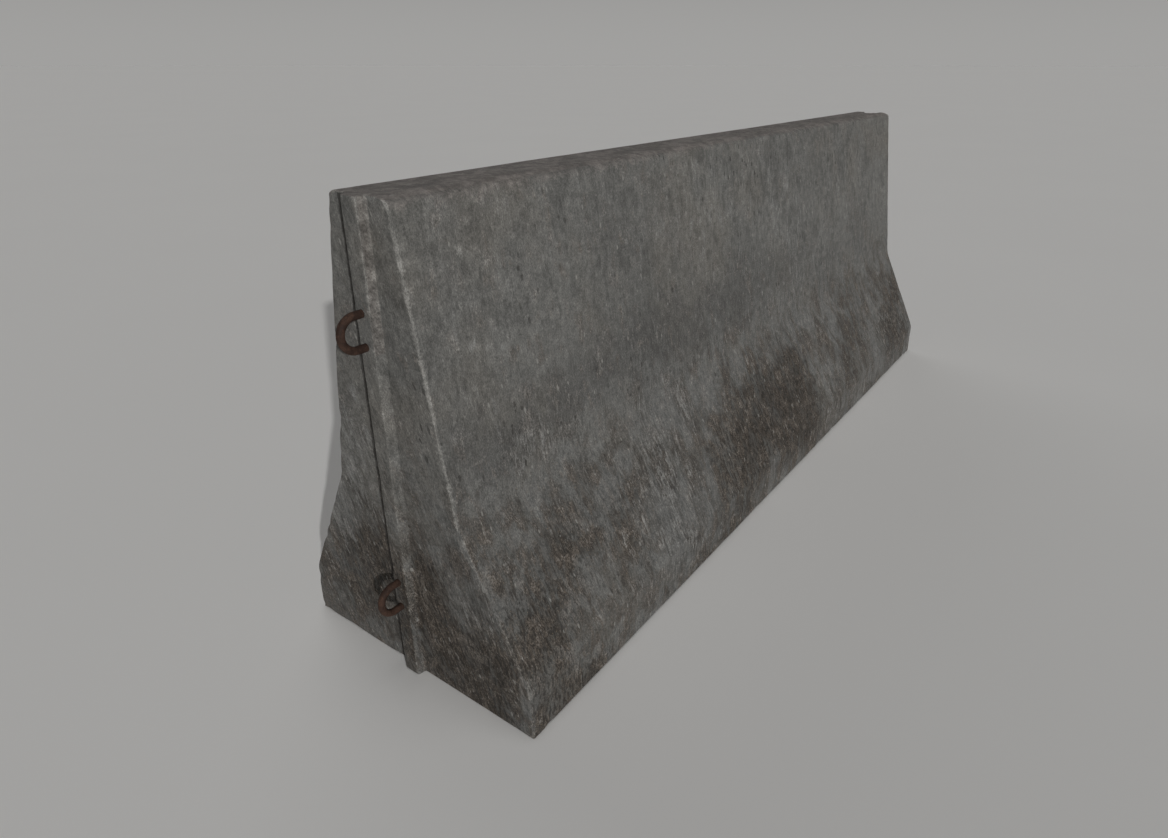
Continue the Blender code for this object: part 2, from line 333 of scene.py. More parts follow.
def wall_lean(lattice, heights):
    """How far out the wall is, and its lean from upright, at these heights."""
    wall = lattice.wall
    steps = np.diff(wall, axis=0)
    lean = np.arctan2(-steps[:, 0], steps[:, 2])
    middles = (wall[1:, 2] + wall[:-1, 2]) / 2
    return np.interp(heights, wall[:, 2], wall[:, 0]), np.interp(heights, middles, lean)


def casting_faces(lattice):
    """The faces that meet at the casting's edges, as Face tuples by name."""
    x, y, z = lattice.points.T
    key, side, station = lattice.key_share, lattice.side, lattice.station
    out, lean = wall_lean(lattice, z)
    flat, lean_y, lean_z = np.zeros_like(x), np.cos(lean), np.sin(lean)

    def facing(vector):
        return np.tile(np.array(vector, float), (len(x), 1))

    on_tongue = (key > 0) & (station <= TONGUE_STATIONS + 1)
    past = x - TONGUE_X
    half = TONGUE_FACE_WIDTH / 2 + (TONGUE_ROOT_WIDTH - TONGUE_FACE_WIDTH) / 2 * past / TONGUE_DEPTH
    at_groove = x > GROOVE_X - ON_FACE
    into = np.clip((x - GROOVE_X) / GROOVE_DEPTH, 0, 1)
    mouth = GROOVE_FLOOR_WIDTH / 2 + (GROOVE_MOUTH_WIDTH - GROOVE_FLOOR_WIDTH) / 2 * into
    beside = at_groove & (np.abs(y - KEY_Y) > mouth - ON_FACE)
    return {
        "near": Face(np.where(key > 0, FAR_AWAY, x - NEAR_X), facing((1, 0, 0))),
        "far": Face(np.where(key == 1, FAR_AWAY, FAR_X - x), facing((-1, 0, 0))),
        "right": Face((y + out) * lean_y, np.stack([flat, lean_y, -lean_z], axis=1)),
        "left": Face((out - y) * lean_y, np.stack([flat, -lean_y, -lean_z], axis=1)),
        "top": Face(HEIGHT - z, facing((0, 0, -1))),
        "base": Face(z, facing((0, 0, 1))),
        "tongue": Face(np.where(on_tongue, past, FAR_AWAY), facing((1, 0, 0))),
        "tongue_right": Face(np.where(on_tongue, y - KEY_Y + half, FAR_AWAY), facing((0, 1, 0))),
        "tongue_left": Face(np.where(on_tongue, KEY_Y + half - y, FAR_AWAY), facing((0, -1, 0))),
        "groove_right": Face(
            np.where(beside & (side < 0), KEY_Y - mouth - y, FAR_AWAY), facing((0, -1, 0))
        ),
        "groove_left": Face(
            np.where(beside & (side > 0), y - KEY_Y - mouth, FAR_AWAY), facing((0, 1, 0))
        ),
    }


def casting_edges(faces):
    """The edges that wear."""
    near, far, right, left, top, base = (
        faces[name] for name in ("near", "far", "right", "left", "top", "base")
    )
    tongue, tongue_right, tongue_left = (
        faces[name] for name in ("tongue", "tongue_right", "tongue_left")
    )
    groove_right, groove_left = faces["groove_right"], faces["groove_left"]
    return [
        Edge(near, right, 0.0019, 0.0024, 0.95, 0.0042, 1, foot=0.4),
        Edge(near, left, 0.0012, 0.0048, 0.1, 0.0040, 2),
        Edge(far, right, 0.0018, 0.0026, 0.4, 0.0040, 3),
        Edge(far, left, 0.0018, 0.0030, 0.4, 0.0040, 4),
        Edge(near, top, 0.0016, 0.0022, 0.5, 0.0030, 5),
        Edge(far, top, 0.0012, 0.0014, 0.3, 0.0040, 6),
        Edge(right, base, 0.0014, 0.0026, 0.1, 0.0040, 7),
        Edge(left, base, 0.0014, 0.0026, 0.1, 0.0040, 8),
        Edge(near, base, 0.0014, 0.0030, 0.0, 0.0040, 9),
        Edge(far, base, 0.0014, 0.0030, 0.0, 0.0040, 10),
        Edge(tongue, tongue_right, 0.0012, 0.0020, 0.5, 0.0016, 11, foot=0.8),
        Edge(tongue, tongue_left, 0.0010, 0.0026, 0.2, 0.0030, 12),
        Edge(tongue, top, 0.0016, 0.0020, 0.4, 0.0030, 13),
        Edge(tongue, base, 0.0016, 0.0026, 0.1, 0.0040, 14),
        Edge(far, groove_right, 0.0012, 0.0018, 0.4, 0.0040, 15),
        Edge(far, groove_left, 0.0012, 0.0018, 0.4, 0.0040, 16),
        Edge(top, groove_right, 0.0007, 0.0009, 0.2, 0.0040, 17),
        Edge(top, groove_left, 0.0007, 0.0009, 0.2, 0.0040, 18),
    ]


def rounded_top(points, faces, side, reach):
    """Rounds the top's edge on one side by the given reach across and down."""
    across, down = reach
    a, b = faces[side], faces["top"]
    u = 1 - np.clip(a.distance / across, 0, 1)
    v = 1 - np.clip(b.distance / down, 0, 1)
    in_across = across * u * (1 - np.sqrt(1 - v * v / 2))
    in_down = down * v * (1 - np.sqrt(1 - u * u / 2))
    return points + in_across[:, None] * a.inwards + in_down[:, None] * b.inwards


def worn_edges(points, edges):
    """Cuts each edge back to an uneven facet.

    Returns the points, and for each one how deep it was cut, how pale it is, and how near an edge it is.
    """
    points = points.copy()
    cut, pale, close = (np.zeros(len(points)) for _ in range(3))
    for edge in edges:
        in_from = (edge.first.distance + edge.second.distance) / sqrt(2)
        touched = np.nonzero(in_from < WEAR_ZONE)[0]
        here = points[touched]
        bites = np.clip(noise_at(here, BITES, edge.seed, 3) * 2.0 - 0.35, 0, 1)
        crumbs = noise_at(here, CRUMBS, edge.seed + 40)
        depth = edge.depth * (1 + 0.5 * crumbs) + edge.bite * bites
        push = np.maximum(0, depth - in_from[touched])
        way = edge.first.inwards[touched] + edge.second.inwards[touched]
        way /= np.linalg.norm(way, axis=1)[:, None]
        points[touched] += push[:, None] * way
        cut[touched] = np.maximum(cut[touched], push)
        reach = edge.reach * (1 + 0.6 * noise_at(here, STRIPS, edge.seed + 80, 2))
        strip = np.exp(-((in_from[touched] / np.maximum(reach, EDGE_STEP)) ** 2)) * edge.pale
        strip *= edge.foot + (1 - edge.foot) * ease(PALE_FROM, PALE_TO, here[:, 2])
        pale[touched] = np.maximum(pale[touched], strip)
        close[touched] = np.maximum(close[touched], np.exp(-((in_from[touched] / SOFT_ZONE) ** 2)))
    return points, cut, pale, close


def relaxed(points, quads, share, rounds):
    """Moves each point part of the way to the middle of its neighbours, a few times."""
    links = np.concatenate([quads[:, [i, (i + 1) % 4]] for i in range(4)])
    links = np.concatenate([links, links[:, ::-1]])
    count = np.bincount(links[:, 0], minlength=len(points))[:, None]
    for _ in range(rounds):
        total = np.zeros_like(points)
        for axis in range(3):
            total[:, axis] = np.bincount(links[:, 0], points[links[:, 1], axis], len(points))
        points = points + (total / count - points) * share[:, None]
    return points


# ---------------------------------------------------------------- where the surface is stained

# Soft spots as (across, down from the top, half width, half height, strength), in metres. On the walls,
# across runs from the near end. On the ends, it runs from the middle to the left.
WALL_BROWN = [
    (0.05, 0.70, 0.13, 0.15, 0.75), (0.22, 0.60, 0.08, 0.10, 0.55), (0.36, 0.62, 0.07, 0.12, 0.50),
    (0.78, 0.70, 0.13, 0.13, 0.85), (1.00, 0.64, 0.17, 0.13, 1.00), (1.16, 0.74, 0.14, 0.11, 0.85),
    (1.20, 0.57, 0.09, 0.06, 0.55), (1.50, 0.72, 0.10, 0.12, 0.60), (1.68, 0.62, 0.12, 0.10, 0.60),
    (2.10, 0.58, 0.09, 0.11, 0.60), (1.98, 0.72, 0.14, 0.13, 0.85), (1.78, 0.48, 0.09, 0.06, 0.35),
    (0.10, 0.84, 0.20, 0.05, 0.45), (0.62, 0.83, 0.25, 0.04, 0.50),
]
WALL_LIME = [
    (0.50, 0.60, 0.12, 0.17, 0.50), (0.44, 0.74, 0.10, 0.10, 0.50), (0.20, 0.44, 0.12, 0.07, 0.35),
    (0.60, 0.48, 0.12, 0.07, 0.40), (1.86, 0.68, 0.15, 0.12, 0.50), (1.60, 0.80, 0.30, 0.045, 0.35),
    (1.34, 0.70, 0.09, 0.10, 0.45), (1.30, 0.42, 0.28, 0.09, 0.30), (0.86, 0.14, 0.30, 0.12, 0.28),
    (1.25, 0.22, 0.22, 0.12, 0.30), (1.80, 0.16, 0.16, 0.14, 0.20), (0.10, 0.22, 0.10, 0.14, 0.22),
]
WALL_SHADE = [
    (0.06, 0.40, 0.12, 0.07, 0.80), (0.30, 0.36, 0.14, 0.06, 0.55), (0.58, 0.33, 0.14, 0.08, 0.75),
    (0.86, 0.37, 0.18, 0.08, 0.95), (0.92, 0.55, 0.08, 0.07, 0.70), (1.43, 0.12, 0.10, 0.07, 0.50),
    (1.55, 0.50, 0.10, 0.09, 0.55), (1.82, 0.30, 0.13, 0.09, 0.45), (2.02, 0.46, 0.10, 0.10, 0.60),
    (0.98, 0.25, 0.14, 0.05, 0.45), (0.45, 0.10, 0.14, 0.06, 0.30), (1.12, 0.05, 0.10, 0.03, 0.35),
    (1.20, 0.34, 0.16, 0.06, 0.45), (2.02, 0.76, 0.22, 0.09, 1.00), (0.70, 0.20, 0.10, 0.05, 0.30),
    (0.35, 0.34, 0.40, 0.08, 0.30), (1.10, 0.35, 0.50, 0.08, 0.25), (1.95, 0.12, 0.08, 0.08, 0.45),
    (0.30, 0.48, 0.35, 0.10, 0.28),
]
END_BROWN = [
    (-0.045, 0.67, 0.035, 0.11, 1.00), (-0.17, 0.70, 0.10, 0.05, 1.00), (-0.17, 0.80, 0.10, 0.045, 1.00),
    (-0.09, 0.59, 0.05, 0.04, 0.55), (-0.10, 0.73, 0.08, 0.07, 0.95), (0.12, 0.70, 0.16, 0.12, 0.75),
    (0.05, 0.60, 0.06, 0.08, 0.60), (0.10, 0.58, 0.05, 0.03, 0.50),
]
END_LIME = [
    (-0.15, 0.61, 0.04, 0.04, 0.60), (-0.225, 0.735, 0.035, 0.03, 0.25), (-0.13, 0.785, 0.035, 0.02, 0.25),
    (0.16, 0.56, 0.05, 0.05, 0.75), (0.07, 0.44, 0.05, 0.06, 0.50), (0.20, 0.74, 0.04, 0.05, 0.35),
    (0.20, 0.50, 0.04, 0.05, 0.60), (0.10, 0.42, 0.03, 0.09, 0.80), (0.055, 0.34, 0.02, 0.05, 0.50),
    (0.15, 0.50, 0.04, 0.06, 0.60),
]
END_SHADE = [
    (-0.06, 0.30, 0.05, 0.12, 0.20), (0.09, 0.33, 0.04, 0.05, 0.65), (0.10, 0.50, 0.05, 0.04, 0.65),
    (-0.07, 0.52, 0.06, 0.06, 0.65), (0.02, 0.10, 0.02, 0.10, 0.35), (0.05, 0.22, 0.03, 0.06, 0.50),
    (-0.20, 0.72, 0.05, 0.10, 0.60), (0.08, 0.40, 0.03, 0.02, 0.50), (-0.12, 0.66, 0.12, 0.13, 0.85),
]

# The same, for pale scuffs and for stretches with more pits.
WALL_SCUFFS = [
    (0.024, 0.042, 0.005, 0.008, 0.60), (0.105, 0.085, 0.007, 0.01, 0.60), (0.09, 0.165, 0.006, 0.006, 0.80),
    (0.074, 0.225, 0.005, 0.01, 0.60), (0.16, 0.11, 0.008, 0.008, 0.50), (0.35, 0.11, 0.006, 0.009, 0.60),
    (0.52, 0.15, 0.006, 0.008, 0.60), (0.60, 0.33, 0.008, 0.006, 0.60),
]
WALL_POCKS = [
    (1.00, 0.05, 0.05, 0.045, 1.00), (1.09, 0.07, 0.05, 0.035, 0.80), (0.65, 0.26, 0.03, 0.025, 1.00),
    (0.82, 0.42, 0.03, 0.02, 0.80), (1.19, 0.37, 0.03, 0.025, 0.90), (1.24, 0.27, 0.03, 0.02, 0.60),
    (0.89, 0.18, 0.03, 0.025, 0.60), (0.76, 0.26, 0.03, 0.02, 0.50), (1.62, 0.11, 0.04, 0.02, 0.60),
    (2.02, 0.49, 0.03, 0.02, 0.80), (0.15, 0.43, 0.03, 0.02, 0.70), (0.46, 0.60, 0.03, 0.04, 0.40),
]


def spotted(spots, across, down):
    """How strongly each point lies in any of these soft spots, from 0 to 1."""
    total = np.zeros_like(across)
    for middle, depth, wide, tall, strength in spots:
        total += strength * np.exp(-(((across - middle) / wide) ** 2) - ((down - depth) / tall) ** 2)
    return np.clip(total, 0, 1)


def stains(lattice):
    """The brown, lime and shade of every point."""
    x, y, z = lattice.points.T
    last_column, last_station = lattice.shape[0] - 1, lattice.shape[2] - 1
    on_end = (lattice.station == 0) | (lattice.station == last_station)
    on_end &= (lattice.column > 0) & (lattice.column < last_column)
    most = np.where(on_end, END_SWAY, WALL_SWAY)
    sway, lift = (most * noise_at(lattice.points, SWAY_SCALE, seed, 3) for seed in (21, 22))
    from_near = np.where(lattice.column == last_column, FAR_X - x, x - NEAR_X)
    across = np.where(on_end, np.where(lattice.station == 0, y, -y), from_near) + sway
    down = np.where(on_end, HEIGHT - z, lattice.down) + lift
    kinds = {}
    for kind, wall_spots, end_spots in (
        ("brown", WALL_BROWN, END_BROWN),
        ("lime", WALL_LIME, END_LIME),
        ("shade", WALL_SHADE, END_SHADE),
    ):
        kinds[kind] = np.where(
            on_end, spotted(end_spots, across, down), spotted(wall_spots, across, down)
        )
    kinds["brown"] = np.where(on_tongue_flank(lattice), FLANK_BROWN * kinds["brown"], kinds["brown"])
    return kinds


def on_walls(lattice, spots):
    """How strongly the points of the two side walls lie in soft spots."""
    last_column = lattice.shape[0] - 1
    x = lattice.points[:, 0]
    from_near = np.where(lattice.column == last_column, FAR_X - x, x - NEAR_X)
    on_wall = (lattice.column == 0) | (lattice.column == last_column)
    return np.where(on_wall, spotted(spots, from_near, lattice.down), 0.0)


def on_tongue_flank(lattice):
    """Which points are on the tongue's right flank."""
    return (lattice.station <= TONGUE_STATIONS) & (lattice.side == -1) & (lattice.key_share > 0)


def tongue_flank(lattice):
    """The tongue's right flank, which rubs: how pale it is, and how pale its two rims are near the top."""
    x, z = lattice.points[:, 0], lattice.points[:, 2]
    on_flank = on_tongue_flank(lattice)
    across = np.clip((x - TONGUE_X) / TONGUE_DEPTH, 0, 1)
    high = ease(RIM_FROM, RIM_TO, z)
    rim = np.exp(-((across / RIM_WIDTH) ** 2)) + np.exp(-(((1 - across) / RIM_WIDTH) ** 2))
    worn = FLANK_FOOT + (1 - FLANK_FOOT) * ease(FLANK_FROM, FLANK_TO, z)
    return on_flank * (1 - high) * worn, on_flank * high * rim


# ---------------------------------------------------------------- the casting


def store(mesh, name, values, domain="POINT"):
    """Keeps one number or one vector for every point or corner of a mesh."""
    values = np.asarray(values, np.float32)
    kind, field = ("FLOAT", "value") if values.ndim == 1 else ("FLOAT_VECTOR", "vector")
    mesh.attributes.new(name, kind, domain).data.foreach_set(field, values.ravel())


def flow_of(lattice, quads):
    """Every corner's place on its own side: how far across and down it is, and the side's number."""
    x, y, z = lattice.points.T
    parts = []
    for number, (side, ring) in enumerate(quads.items()):
        corners = ring.ravel()
        if side in ("near", "far"):
            key_x = TONGUE_X if side == "near" else GROOVE_X
            unrolled = y + np.sign(y - KEY_Y) * (x - key_x)
            down = (HEIGHT - z)[corners]
            across = unrolled[corners] + END_SLANT * down
        elif side in ("right", "left"):
            across, down = x[corners], lattice.down[corners]
        else:
            across, down = y[corners], x[corners]
        apart = np.full(len(corners), float(number))
        parts.append(np.stack([across + SIDES_APART * number, down, apart], axis=1))
    return np.concatenate(parts)


def casting():
    """The concrete, as one closed mesh."""
    lattice = Lattice()
    faces = casting_faces(lattice)
    quads = lattice.quads()
    ring = np.concatenate(list(quads.values()))
    kinds = stains(lattice)
    points = rounded_top(lattice.points, faces, "right", TOP_ROUND_RIGHT)
    points = rounded_top(points, faces, "left", TOP_ROUND_LEFT)
    points, cut, pale, close = worn_edges(points, casting_edges(faces))
    points = relaxed(points, ring, SMOOTHING * close, SMOOTH_ROUNDS)

    mesh = bpy.data.meshes.new("concrete_casting")
    mesh.from_pydata(points.tolist(), [], ring.tolist())
    mesh.update()
    normals = np.zeros(len(points) * 3)
    mesh.vertices.foreach_get("normal", normals)
    normals = normals.reshape(-1, 3)
    (wide, wide_scale), (small, small_scale) = WIDE_WAVE, SMALL_WAVE
    wave = wide * (1 + noise_at(points, wide_scale, 31)) + small * (1 + noise_at(points, small_scale, 32, 2))
    on_ground = lattice.row == 0
    wave[on_ground] = 0
    points = points - normals * wave[:, None]
    mesh.vertices.foreach_set("co", points.ravel())
    mesh.update()
    mesh.shade_smooth()

    store(mesh, "flow", flow_of(lattice, quads), "CORNER")
    for kind, values in kinds.items():
        store(mesh, kind, values)
    # how deep each bite is cut, for the painted shade and dirt in it
    store(mesh, "hollow", ease(HOLLOW_FROM, HOLLOW_TO, cut))
    store(mesh, "pale", pale)
    store(mesh, "dust", top_dust(lattice, points))
    flank, rims = tongue_flank(lattice)
    store(mesh, "flank", flank)
    store(mesh, "rims", rims)
    store(mesh, "pocks", on_walls(lattice, WALL_POCKS))
    store(mesh, "scuffs", on_walls(lattice, WALL_SCUFFS))

    obj = bpy.data.objects.new("concrete_casting", mesh)
    bpy.context.scene.collection.objects.link(obj)
    return obj


def top_dust(lattice, points):
    """Dust lies on the top and fades just below its edges."""
    from_near = 1 - ease(0.0, DUST_FADE, points[:, 0] - NEAR_X)
    reach = DUST_REACH + DUST_NEAR_REACH * from_near + DUST_SWAY * noise_at(points, 20, 51, 2)
    dust = 1 - ease(0.25, 1.0, (HEIGHT - points[:, 2]) / np.maximum(reach, 0.004))
    on_end = (lattice.station == 0) | (lattice.station == lattice.shape[2] - 1)
    on_top = lattice.row == lattice.shape[1] - 1
    return dust * np.where(on_top, 1.0, np.where(on_end, 0.0, WALL_DUST))


# ---------------------------------------------------------------- the loops


def loop_path(node, far):
    """A loop's centre line, from its CAD box: a hook, a leg, the half circle outside, a leg and its hook."""
    low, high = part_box(node)
    half = LOOP_BAR / 2
    crown, hook = low.x + half, high.x - half
    if far:
        crown, hook = hook, crown
    upper, lower = high.z - half, low.z + half
    bend = (upper - lower) / 2
    return filleted(
        [
            ((hook, high.y, upper), 0),
            ((hook, LOOP_LEG_Y, upper), LOOP_HOOK_BEND),
            ((crown, LOOP_LEG_Y, upper), bend * NEARLY),
            ((crown, LOOP_LEG_Y, lower), bend * NEARLY),
            ((hook, LOOP_LEG_Y, lower), LOOP_HOOK_BEND),
            ((hook, low.y, lower), 0),
        ],
        steps=ARC_STEPS,
    )


def swept_bar(name, path, diameter, seed):
    """A round bar along a path, closed at both ends, with a slightly pitted skin."""
    sides, walked = BAR_SIDES, distances(path)[-1]
    spine = [Vector(p) for p in along(path, np.linspace(0, walked, int(walked / BAR_STEP)))]
    tangents = [(b - a).normalized() for a, b in zip(spine[:-1], spine[1:])]
    tangents.append(tangents[-1])
    across = tangents[0].orthogonal().normalized()
    verts, quads = [], []
    for i, (centre, tangent) in enumerate(zip(spine, tangents)):
        across = (across - tangent * across.dot(tangent)).normalized()
        other = tangent.cross(across)
        for j in range(sides):
            turn = 2 * pi * j / sides
            out = across * cos(turn) + other * sin(turn)
            skin = centre + out * diameter / 2
            pits = max(0.0, noise.fractal(skin * SKIN_PITS + Vector((seed, 0, 0)), 1.0, 2.0, 3))
            grain = 1 + noise.noise(skin * SKIN_GRAIN)
            verts.append(skin - out * (GRAIN_DEPTH * grain + PIT_DEPTH * pits))
        if i:
            start, before = i * sides, (i - 1) * sides
            for j in range(sides):
                k = (j + 1) % sides
                quads.append((before + j, before + k, start + k, start + j))
    quads.append(tuple(reversed(range(sides))))
    quads.append(tuple(range(len(verts) - sides, len(verts))))
    mesh = bpy.data.meshes.new(name)
    mesh.from_pydata(verts, [], quads)
    mesh.update()
    mesh.shade_smooth()
    mesh.set_sharp_from_angle(angle=radians(50))
    obj = bpy.data.objects.new(name, mesh)
    bpy.context.scene.collection.objects.link(obj)
    return obj


# ---------------------------------------------------------------- materials


class Shader:
    """One node material, with short calls for the nodes that it is made of."""

    def __init__(self, name):
        self.material = bpy.data.materials.new(name)
        self.material.use_nodes = True
        self.tree = self.material.node_tree
        self.principled = self.tree.nodes["Principled BSDF"]

    def add(self, kind, inputs, **settings):
        """A new node, with its inputs set or linked by their names or numbers."""
        node = self.tree.nodes.new("ShaderNode" + kind)
        for name, value in settings.items():
            setattr(node, name, value)
        for socket, value in inputs.items():
            self.feed(node.inputs[socket], value)
        return node

    def feed(self, socket, value):
        """Links a socket to another one, or gives it a value."""
        if isinstance(value, bpy.types.NodeSocket):
            self.tree.links.new(value, socket)
        elif isinstance(value, tuple) and socket.type == "RGBA":
            socket.default_value = (*value, 1.0)
        else:
            socket.default_value = value

    def places(self):
        return self.add("TexCoord", {}).outputs["Object"]

    def kept(self, name, output="Fac"):
        """What the mesh keeps under this name."""
        return self.add("Attribute", {}, attribute_name=name).outputs[output]

    def stretched(self, vector, scales):
        return self.add("VectorMath", {0: vector, 1: scales}, operation="MULTIPLY").outputs[0]

    def noise(self, vector, scale, detail=3.0, roughness=0.5, distortion=0.0):
        inputs = {
            "Vector": vector,
            "Scale": scale,
            "Detail": detail,
            "Roughness": roughness,
            "Distortion": distortion,
        }
        return self.add("TexNoise", inputs).outputs[0]

    def pattern(self, vector, scale, detail=3.0, roughness=0.5, distortion=0.0):
        """A noise with its contrast raised."""
        return self.fade(self.noise(vector, scale, detail, roughness, distortion), 0.30, 0.70)

    def calc(self, operation, a, b=0.0):
        return self.add("Math", {0: a, 1: b}, operation=operation).outputs[0]

    def fade(self, value, low, high, to_low=0.0, to_high=1.0):
        """Goes smoothly from to_low to to_high while the value goes from low to high."""
        inputs = {"Value": value, 1: low, 2: high, 3: to_low, 4: to_high}
        return self.add("MapRange", inputs, interpolation_type="SMOOTHSTEP").outputs[0]

    def broken(self, mask, noises, low, high):
        """A soft mask whose border is broken up by noises, each given as (noise, strength)."""
        for pattern, strength in noises:
            around = self.add("Math", {0: pattern, 1: strength, 2: -strength / 2}, operation="MULTIPLY_ADD")
            mask = self.calc("ADD", mask, around.outputs[0])
        return self.fade(mask, low, high)

    def mix(self, share, a, b):
        return self.add("Mix", {0: share, 6: a, 7: b}, data_type="RGBA").outputs[2]

    def laid(self, colour, mask, share, over):
        """The colour with another one laid over it where the mask is, by up to this share."""
        return self.mix(self.calc("MULTIPLY", mask, share), colour, over)

    def swung(self, colour, pattern, share):
        """The colour made up to this share lighter or darker by a pattern."""
        around = self.calc("SUBTRACT", pattern, 0.5)
        swing = self.calc("MULTIPLY", around, share)
        factor = self.add("Math", {0: swing, 1: 2.0, 2: 1.0}, operation="MULTIPLY_ADD").outputs[0]
        return self.shaded(colour, factor)

    def shaded(self, colour, factor):
        return self.add("VectorMath", {0: colour, "Scale": factor}, operation="SCALE").outputs[0]

    def dots(self, vector, scale, size, share):
        """Scattered round dots on a side: 1 in a dot's middle, 0 outside it.

        Size is in cells, and share is how many cells have a dot.
        """
        inputs = {"Vector": vector, "Scale": scale, "Randomness": 1.0}
        cells = self.add("TexVoronoi", inputs, voronoi_dimensions="2D")
        picked = self.add("SeparateColor", {0: cells.outputs["Color"]})
        reach = self.fade(picked.outputs[0], 1 - share, 1 - share / 2, 0.0, size)
        edge = self.calc("DIVIDE", cells.outputs["Distance"], self.calc("MAXIMUM", reach, 0.0001))
        return self.fade(edge, 0.55, 1.0, 1.0, 0.0)

    def moved(self, vector, pattern, most):
        """The vector shifted by a noise, by about this much."""
        shift = self.add("Math", {0: pattern, 1: most, 2: -most / 2}, operation="MULTIPLY_ADD").outputs[0]
        return self.add("VectorMath", {0: vector, 1: shift}, operation="ADD").outputs[0]

    def bump(self, height, millimetres):
        inputs = {"Height": height, "Distance": millimetres * 0.001}
        return self.add("Bump", inputs).outputs[0]

    def finish(self, colour, roughness, normal):
        self.feed(self.principled.inputs["Base Color"], colour)
        self.feed(self.principled.inputs["Roughness"], roughness)
        self.feed(self.principled.inputs["Normal"], normal)
        return self.material


# What the casting's mesh keeps for its material: its stains, pale edges, dust, how deep its bites are for
# their painted shade and dirt, the tongue's worn flank and rims, and where pits and scuffs are.
Stored = namedtuple("Stored", "brown lime shade pale dust hollow flank rims pocks scuffs")

# The patterns in that material: sand, mottle, blot and cloud are even, and the others run down the sides.
Patterns = namedtuple("Patterns", "sand fine mottle blot cloud streak runs patch")


def concrete_patterns(m, place, flow):
    """The concrete's patterns. Some are drawn out down the sides, by scales given across and down."""

    def drawn_out(across, down, detail, roughness, distortion=0.0):
        scaled = m.stretched(flow, (across, down, SIDE_SCALE))
        return m.pattern(scaled, 1, detail, roughness, distortion)

    return Patterns(
        sand=m.pattern(place, 640, 2),
        fine=drawn_out(520, 250, 3, 0.65),
        mottle=m.pattern(place, 75, 4, 0.65, 0.3),
        blot=m.pattern(place, 24, 5, 0.6, 0.5),
        cloud=m.pattern(place, 6, 4, 0.6, 0.3),
        streak=drawn_out(180, 42, 4, 0.65, 0.3),
        runs=drawn_out(50, 13, 5, 0.65, 0.4),
        patch=drawn_out(19, 11, 6, 0.62, 0.5),
    )


def clean_concrete(m, place, p):
    """Grey in soft clouds, warmer in places."""
    colour = m.mix(p.cloud, GREY_DARK, GREY_LIGHT)
    warm = m.fade(m.noise(place, 5, 3), 0.46, 0.70, 0.0, 0.6)
    return m.mix(warm, colour, WARM_GREY)


def stained(m, colour, p, stored, low):
    """The colour under shade, grimy dirt with painted shade, brown earth and pale lime.

    The stored spots say where they are. Low down, grimy dirt with painted shade, earth and lime also come in
    patches of their own.
    """
    breaks = [(p.blot, 0.8), (p.runs, 0.8), (p.patch, 0.7), (p.mottle, 0.2)]
    shady = m.broken(stored.shade, breaks, 0.15, 1.15)
    colour = m.laid(colour, shady, 0.78, SHADE_GREY)
    # Low down, dirt and painted shade make the colour darker, broken up by the patterns.
    grime_and_shade = m.broken(low, [(p.streak, 0.5), (p.runs, 0.9), (p.blot, 0.4)], 0.45, 1.35)
    colour = m.laid(colour, grime_and_shade, 0.66, GRIME_AND_SHADE)

    earth = m.mix(m.fade(m.calc("ADD", p.fine, p.blot), 0.65, 1.5), BROWN_DARK, BROWN_LIGHT)
    breaks = [(p.runs, 0.8), (p.blot, 0.5), (p.streak, 0.5), (p.fine, 0.15)]
    dirty = m.broken(stored.brown, breaks, 0.05, 1.05)
    colour = m.laid(colour, dirty, 0.92, earth)
    earthy = m.calc("MULTIPLY", m.fade(p.patch, 0.56, 0.86), low)
    colour = m.laid(colour, earthy, 0.55, earth)

    breaks = [(p.streak, 0.8), (p.runs, 0.9), (p.patch, 0.5), (p.fine, 0.25)]
    limed = m.broken(stored.lime, breaks, 0.30, 1.25)
    patched = m.calc("MULTIPLY", m.fade(p.patch, 0.48, 0.20, 0.0, 0.75), low)
    patched = m.calc("MULTIPLY", patched, m.fade(stored.brown, 0.2, 0.9, 1.0, 0.25))
    return m.laid(colour, m.calc("MAXIMUM", limed, patched), 0.66, LIME)


def dusted(m, colour, p, stored, dusty):
    """The colour under the top's dust, and under the dirt between the rims of the tongue's flank."""
    dust = m.mix(m.fade(m.calc("ADD", p.blot, p.mottle), 0.5, 1.5), DUST_DARK, DUST_LIGHT)
    colour = m.laid(colour, dusty, 0.85, dust)
    between_rims = m.calc("MULTIPLY", m.calc("SUBTRACT", 1.0, stored.rims), m.calc("CEIL", stored.rims))
    return m.laid(colour, between_rims, 0.8, m.mix(p.mottle, FLANK_DARK, FLANK_LIGHT))


def rubbed(m, colour, p, stored):
    """The colour with its edges, rims, scuffs and the tongue's flank worn pale."""
    bare = m.calc("MAXIMUM", stored.pale, m.calc("MAXIMUM", stored.rims, stored.scuffs))
    worn = m.broken(bare, [(p.mottle, 0.6), (p.blot, 0.3), (p.fine, 0.4)], 0.2, 1.1)
    colour = m.laid(colour, worn, 0.62, WORN)
    flank = m.broken(m.calc("MULTIPLY", stored.flank, 0.7), [(p.blot, 0.4), (p.fine, 0.3)], 0.2, 1.2)
    return m.laid(colour, flank, 0.25, WORN)


def grained(m, colour, p, low, dusty):
    """The colour made lighter and darker by each pattern, by one share above and another low down."""
    calm = m.fade(dusty, 0.0, 1.0, 1.0, 0.55)
    for pattern, above, below in (
        (p.patch, 0.12, 0.04),
        (p.blot, 0.10, 0.06),
        (p.runs, 0.16, 0.19),
        (p.streak, 0.15, 0.27),
        (p.mottle, 0.19, 0.17),
        (p.fine, 0.25, 0.27),
        (p.sand, 0.15, 0.15),
    ):
        share = m.calc("MULTIPLY", m.fade(low, 0.0, 1.0, above, below), calm)
        colour = m.swung(colour, pattern, share)
    return colour


